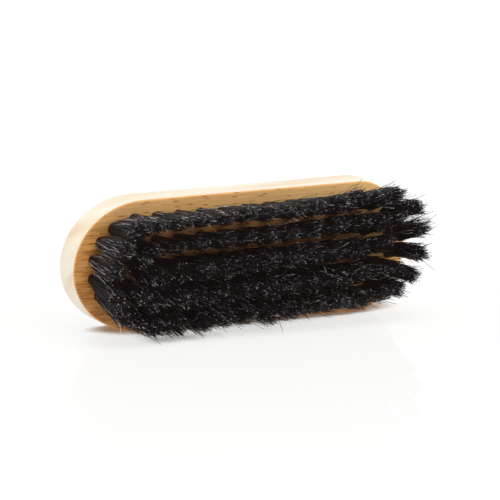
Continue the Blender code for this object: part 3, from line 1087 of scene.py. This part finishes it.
# %% [markdown]
# ## The plank
# The block is one plank of beech with round ends. Its back edge is rounded for the hand, and the
# edge of its face is only broken with sandpaper. A scaled cube with a bevel would give round corners
# but no long, elliptical ends, so the outline comes from a formula and is extruded, and the rims are
# bevelled after it.

# %% The plank
LEFT_END_LENGTH = 0.0285
RIGHT_END_LENGTH = 0.0200
BACK_EDGE_ROUND = 0.0015
END_FACETS = 48
FACE_EDGE_SEGMENTS = 4
BACK_EDGE_SEGMENTS = 6
SAME_PLACE = 0.00001


def block_outline():
    """Two half ellipses, joined by the straight long sides."""
    ends = ((1, block_high.x, RIGHT_END_LENGTH), (-1, block_low.x, LEFT_END_LENGTH))
    corners = []
    for side, tip, reach in ends:
        for step in range(END_FACETS + 1):
            angle = math.pi * step / END_FACETS - math.pi / 2
            x = tip + side * reach * (math.cos(angle) - 1)
            corners.append((x, side * BLOCK_WIDTH / 2 * math.sin(angle)))
    return corners


def mesh_object(name, shape):
    """A new object of a finished bmesh."""
    mesh = bpy.data.meshes.new(name)
    shape.to_mesh(mesh)
    shape.free()
    made = bpy.data.objects.new(name, mesh)
    bpy.context.scene.collection.objects.link(made)
    return made


def round_rim(shape, y, radius, segments):
    """Bevels the edges that lie at this depth."""
    edges = [edge for edge in shape.edges if all(abs(v.co.y - y) < SAME_PLACE for v in edge.verts)]
    bmesh.ops.bevel(shape, geom=edges, offset=radius, segments=segments, profile=0.5, affect="EDGES")


def make_plank():
    shape = bmesh.new()
    face = shape.faces.new([shape.verts.new((x, FACE_Y, z + MIDDLE_Z)) for x, z in block_outline()])
    risen = bmesh.ops.extrude_face_region(shape, geom=[face])
    moved = [item for item in risen["geom"] if isinstance(item, bmesh.types.BMVert)]
    bmesh.ops.translate(shape, verts=moved, vec=(0, BLOCK_THICKNESS, 0))
    bmesh.ops.recalc_face_normals(shape, faces=shape.faces)
    round_rim(shape, FACE_Y, FACE_EDGE_ROUND, FACE_EDGE_SEGMENTS)
    round_rim(shape, BACK_Y, BACK_EDGE_ROUND, BACK_EDGE_SEGMENTS)
    return mesh_object("beech_block", shape)


block = make_plank()
print("faces of the plank:", len(block.data.polygons))

# %% [markdown]
# ## The drilled holes
# Each bunch sits in a blind hole that leans outwards a little, with a rim that is slightly broken.
# Dark dots would do from far away, but here light falls into the holes between the necks of hair. So
# a drill is modelled for each hole, and all of them are cut out of the plank with one Boolean. A drill
# is turned as one closed shape: a cutter of stacked cones would have walls inside it, and the block
# would come out with open edges.

# %% The drills
HOLE_RADIUS = 0.0021
HOLE_DEPTH = 0.0075
HOLE_SIDES = 20
RIM_DEPTH = 0.0002
DRILL_PROFILE = (
    (HOLE_RADIUS, -HOLE_DEPTH),
    (HOLE_RADIUS, -RIM_DEPTH),
    (HOLE_RADIUS + 4 * RIM_DEPTH, 3 * RIM_DEPTH),
)


def drill_turn(place):
    """Turns +Z to the direction of a hole, which leans outward, more towards the edges."""
    axis = Vector((place.x * TILT_ALONG, -HAIR_LENGTH, place.y * TILT_UP)).normalized()
    return axis.to_track_quat("Z", "Y").to_matrix()


def add_drill(shape, place):
    """A drill turned as one closed shape, with a short cone at its top."""
    turn = drill_turn(place)
    rim = Vector((place.x, FACE_Y, MIDDLE_Z + place.y))
    rings = []
    for radius, height in DRILL_PROFILE:
        ring = []
        for side in range(HOLE_SIDES):
            angle = 2 * math.pi * side / HOLE_SIDES
            corner = Vector((radius * math.cos(angle), radius * math.sin(angle), height))
            ring.append(shape.verts.new(rim + turn @ corner))
        rings.append(ring)
    shape.faces.new(rings[0])
    shape.faces.new(rings[-1])
    for low_ring, high_ring in zip(rings, rings[1:]):
        for side in range(HOLE_SIDES):
            after = (side + 1) % HOLE_SIDES
            shape.faces.new((low_ring[side], low_ring[after], high_ring[after], high_ring[side]))


def make_drills():
    shape = bmesh.new()
    for places in bunches.values():
        for place in places:
            add_drill(shape, place)
    bmesh.ops.recalc_face_normals(shape, faces=shape.faces)
    return mesh_object("drills", shape)


drills = make_drills()
print("faces of the drills:", len(drills.data.polygons))

# %% [markdown]
# ## The finished block
# The Boolean runs once, and its result is kept as a plain mesh. Shading is smooth, but the rims of
# the holes would smear over the flat face, so edges above a set angle stay sharp.

# %% The finished block
SHARP_ABOVE = math.radians(35)


def drill_block():
    cut = block.modifiers.new("drilled", "BOOLEAN")
    cut.object = drills
    mesh = evaluated_mesh(block)
    block.modifiers.clear()
    block.data = mesh
    bpy.data.objects.remove(drills)
    mesh.shade_smooth()
    mesh.set_sharp_from_angle(angle=SHARP_ABOVE)
    mesh.materials.clear()
    mesh.materials.append(beech_material)


drill_block()
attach(block, "root")
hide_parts("wood_block")
print("faces of the drilled block:", len(block.data.polygons))

# %% [markdown]
# ## Growing the hair
# With its tree, its points and its material in place, each stretch of hair is grown in turn. One mesh
# for all 71 bunches would be simpler, but each stretch stands for one solid of the model. Each one
# has its own seed, or the same hairs would be seen over and over.

# %% Grow the hair of each stretch
SEEDS_FOR_EACH = 100
hair_triangles = 0
for index, (name, places) in enumerate(bunches.items()):
    given = {"Seed": SEEDS_FOR_EACH * index, "Material": hair_material}
    piece = grown(f"hair_{name}", root_points(name, places), hair_tree, given)
    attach(piece, "root")
    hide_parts(name)
    hair_triangles += len(piece.data.loop_triangles)
print("hair triangles:", hair_triangles)

# %% [markdown]
# ## What the table shines with
# The brush lies on a white table that runs into a white background, with only a thin shadow where it
# touches. A white floor under strong lamps would be grey in one place and burnt out in another.
# Instead the table shines by itself, as bright as it is seen in the picture, and gives less light to
# the brush than it shows. Where something is close above it, it darkens, and near the brush's face the
# shadow is warm with light off the wood.

# %% What the table shines with
TABLE_GIVES = 0.58
TABLE_SHOWS = 0.82
# painted shade: the table shines a little darker near the brush than farther out
NEAR_TO_FAR = (0.10, 0.45)
FAR_TABLE_ADDS = 0.14
WARM_STRIP = (FACE_Y - 0.006, FACE_Y - 0.001)
COLD_SHADE = (0.040, 0.034, 0.026)
WARM_SHADE = (0.230, 0.130, 0.070)
SHADE_REACH = 0.010
SHADE_SAMPLES = 16
RIGHT_OF_TABLE = (0.0, 0.05)
WARM_SHADE_WIDER = 0.12
WIDER_TO_RIGHT = 0.14
FULL_SHADE = 0.10  # where no more than this share of the light from above gets in
NO_SHADE = 0.26  # where at least this share does
NO_SHADE_WIDER = 2.4
YELLOWER = 0.99


def seen_rays(graph):
    """1 for rays that show a surface: from the camera, off a shiny surface or through glass."""
    path = graph.add("ShaderNodeLightPath", None, None, "Is Camera Ray")
    seen = path.math("MAXIMUM", graph.also(path, "Is Glossy Ray"))
    return seen.math("MAXIMUM", graph.also(path, "Is Transmission Ray"))


def table_glow(graph):
    """The colour that the table shines with, with the shadow under the brush and a soft shade near it
    painted in.
    """
    place = graph.add("ShaderNodeTexCoord", None, None, "Object")
    away = graph.add("ShaderNodeVectorMath", {"operation": "LENGTH"}, {0: place}, "Value")
    # painted shade: darker near the brush, brighter farther out
    brighter = away.between(*NEAR_TO_FAR) * FAR_TABLE_ADDS + TABLE_SHOWS - TABLE_GIVES
    glow = brighter * seen_rays(graph) + TABLE_GIVES
    x, y, _ = graph.parts(place)
    warm = y.between(*WARM_STRIP)
    wider = warm * (x.between(*RIGHT_OF_TABLE) * WIDER_TO_RIGHT + WARM_SHADE_WIDER)
    reach = {"Distance": SHADE_REACH}
    open_sky = graph.add("ShaderNodeAmbientOcclusion", {"samples": SHADE_SAMPLES}, reach, "AO")
    open_sky = open_sky.between(wider + FULL_SHADE, wider * NO_SHADE_WIDER + NO_SHADE)
    shade = mixed(graph, warm, COLD_SHADE, WARM_SHADE)
    return mixed(graph, open_sky, shade, graph.vector(glow, glow, glow * YELLOWER))


print(f"shadows start within {SHADE_REACH * 1000:.0f} mm of the brush")

# %% [markdown]
# ## The table
# The table's own paint is matt, with a faint polish in which the brush is mirrored. A glossy
# finish on the whole surface would mirror the room as well, so a little of a nearly perfect mirror is
# mixed into the matt paint instead. The table is stage, not part of the brush.

# %% The table
TABLE_HALF_SIZE = 3.0
TABLE_PAINT = (0.17, 0.17, 0.168)
TABLE_ROUGHNESS = 0.9
POLISH = 0.06
POLISH_ROUGHNESS = 0.03


def white_table():
    material, graph = new_material("white_table")
    surface = {
        "Base Color": opaque(TABLE_PAINT),
        "Roughness": TABLE_ROUGHNESS,
        "Specular IOR Level": 0.0,
        "Emission Color": table_glow(graph),
        "Emission Strength": 1.0,
    }
    matt = graph.add("ShaderNodeBsdfPrincipled", None, surface)
    white_mirror = {"Color": opaque((1, 1, 1)), "Roughness": POLISH_ROUGHNESS}
    mirror = graph.add("ShaderNodeBsdfAnisotropic", None, white_mirror)
    shader = graph.add("ShaderNodeMixShader", None, {0: POLISH, 1: matt, 2: mirror})
    graph.add("ShaderNodeOutputMaterial", None, {0: shader})
    return material


def make_table():
    shape = bmesh.new()
    bmesh.ops.create_grid(shape, x_segments=1, y_segments=1, size=TABLE_HALF_SIZE)
    floor = mesh_object("table", shape)
    floor.data.materials.append(white_table())


make_table()
print(f"table {2 * TABLE_HALF_SIZE:.0f} m across")

# %% [markdown]
# ## Light
# The picture has the even light of a white room, with a large soft light above the brush and windows
# to both sides, which make the glints on the hair. A world with a picture of a studio could give it,
# but a plain white world and three round area lamps say more plainly what lights what.

# %% Light
ROOM_LIGHT = 0.62
LAMPS = (  # name, place, what it points at, diameter, power
    ("overhead", (0.05, -0.26, 0.78), (0, 0, 0.02), 0.7, 3.7),
    ("left window", (-0.95, 0.10, 0.12), (-0.07, 0, 0.02), 0.8, 4.0),
    ("right window", (0.85, -0.30, 0.20), (0.05, 0, 0.02), 0.5, 2.2),
)


def make_world():
    """A white room that looks fully white and lights the brush with less."""
    world = bpy.data.worlds.new("white room")
    bpy.context.scene.world = world
    world.use_nodes = True
    graph = Graph(world.node_tree)
    strength = seen_rays(graph) * (1 - ROOM_LIGHT) + ROOM_LIGHT
    light = graph.add("ShaderNodeBackground", None, {"Color": opaque((1, 1, 1)), "Strength": strength})
    graph.add("ShaderNodeOutputWorld", None, {0: light})


def add_lamp(name, place, target, size, power):
    lamp = bpy.data.lights.new(name, "AREA")
    lamp.shape = "DISK"
    lamp.size = size
    lamp.energy = power
    made = bpy.data.objects.new(name, lamp)
    made.location = place
    made.rotation_euler = (Vector(target) - Vector(place)).to_track_quat("-Z", "Y").to_euler()
    bpy.context.scene.collection.objects.link(made)


make_world()
for lamp in LAMPS:
    add_lamp(*lamp)
print("lamps:", ", ".join(name for name, *_ in LAMPS))

# %% [markdown]
# ## Camera
# The picture was taken from far away with a long lens, so that lines along the block hardly draw
# together. The camera stands to the left and a little above, and is rolled by two degrees. Its
# place could be typed in, but angles round the middle of the face say better what they do.

# %% Camera
CAMERA_SIDE = math.radians(28.5)
CAMERA_HEIGHT = math.radians(13.16)
CAMERA_ROLL = math.radians(1.92)
CAMERA_AWAY = 4.0
AIM_RIGHT = 0.0029
AIM_UP = 0.0024
FOCAL_LENGTH = 769
SENSOR_WIDTH = 36
NEAREST_SEEN = 0.1
FARTHEST_SEEN = 20


def camera_axes():
    """The camera's right, its top and its back, rolled about its line of sight."""
    level = math.cos(CAMERA_HEIGHT)
    back = Vector((-math.sin(CAMERA_SIDE) * level, -math.cos(CAMERA_SIDE) * level, math.sin(CAMERA_HEIGHT)))
    right = (-back).cross(Vector((0, 0, 1))).normalized()
    top = right.cross(-back)
    rolled_right = math.cos(CAMERA_ROLL) * right + math.sin(CAMERA_ROLL) * top
    rolled_top = math.cos(CAMERA_ROLL) * top - math.sin(CAMERA_ROLL) * right
    return rolled_right, rolled_top, back


def make_camera():
    right, top, back = camera_axes()
    aim = Vector((0, FACE_Y, MIDDLE_Z)) + right * AIM_RIGHT + top * AIM_UP
    lens = bpy.data.cameras.new("camera")
    lens.lens = FOCAL_LENGTH
    lens.sensor_width = SENSOR_WIDTH
    lens.clip_start = NEAREST_SEEN
    lens.clip_end = FARTHEST_SEEN
    camera = bpy.data.objects.new("camera", lens)
    turn = Matrix((right, top, back)).transposed()
    camera.matrix_world = Matrix.Translation(aim + back * CAMERA_AWAY) @ turn.to_4x4()
    bpy.context.scene.collection.objects.link(camera)
    bpy.context.scene.camera = camera
    return camera


camera = make_camera()
bpy.context.scene.view_settings.view_transform = "Standard"
print("camera", CAMERA_AWAY, "m away, with a lens of", FOCAL_LENGTH, "mm")
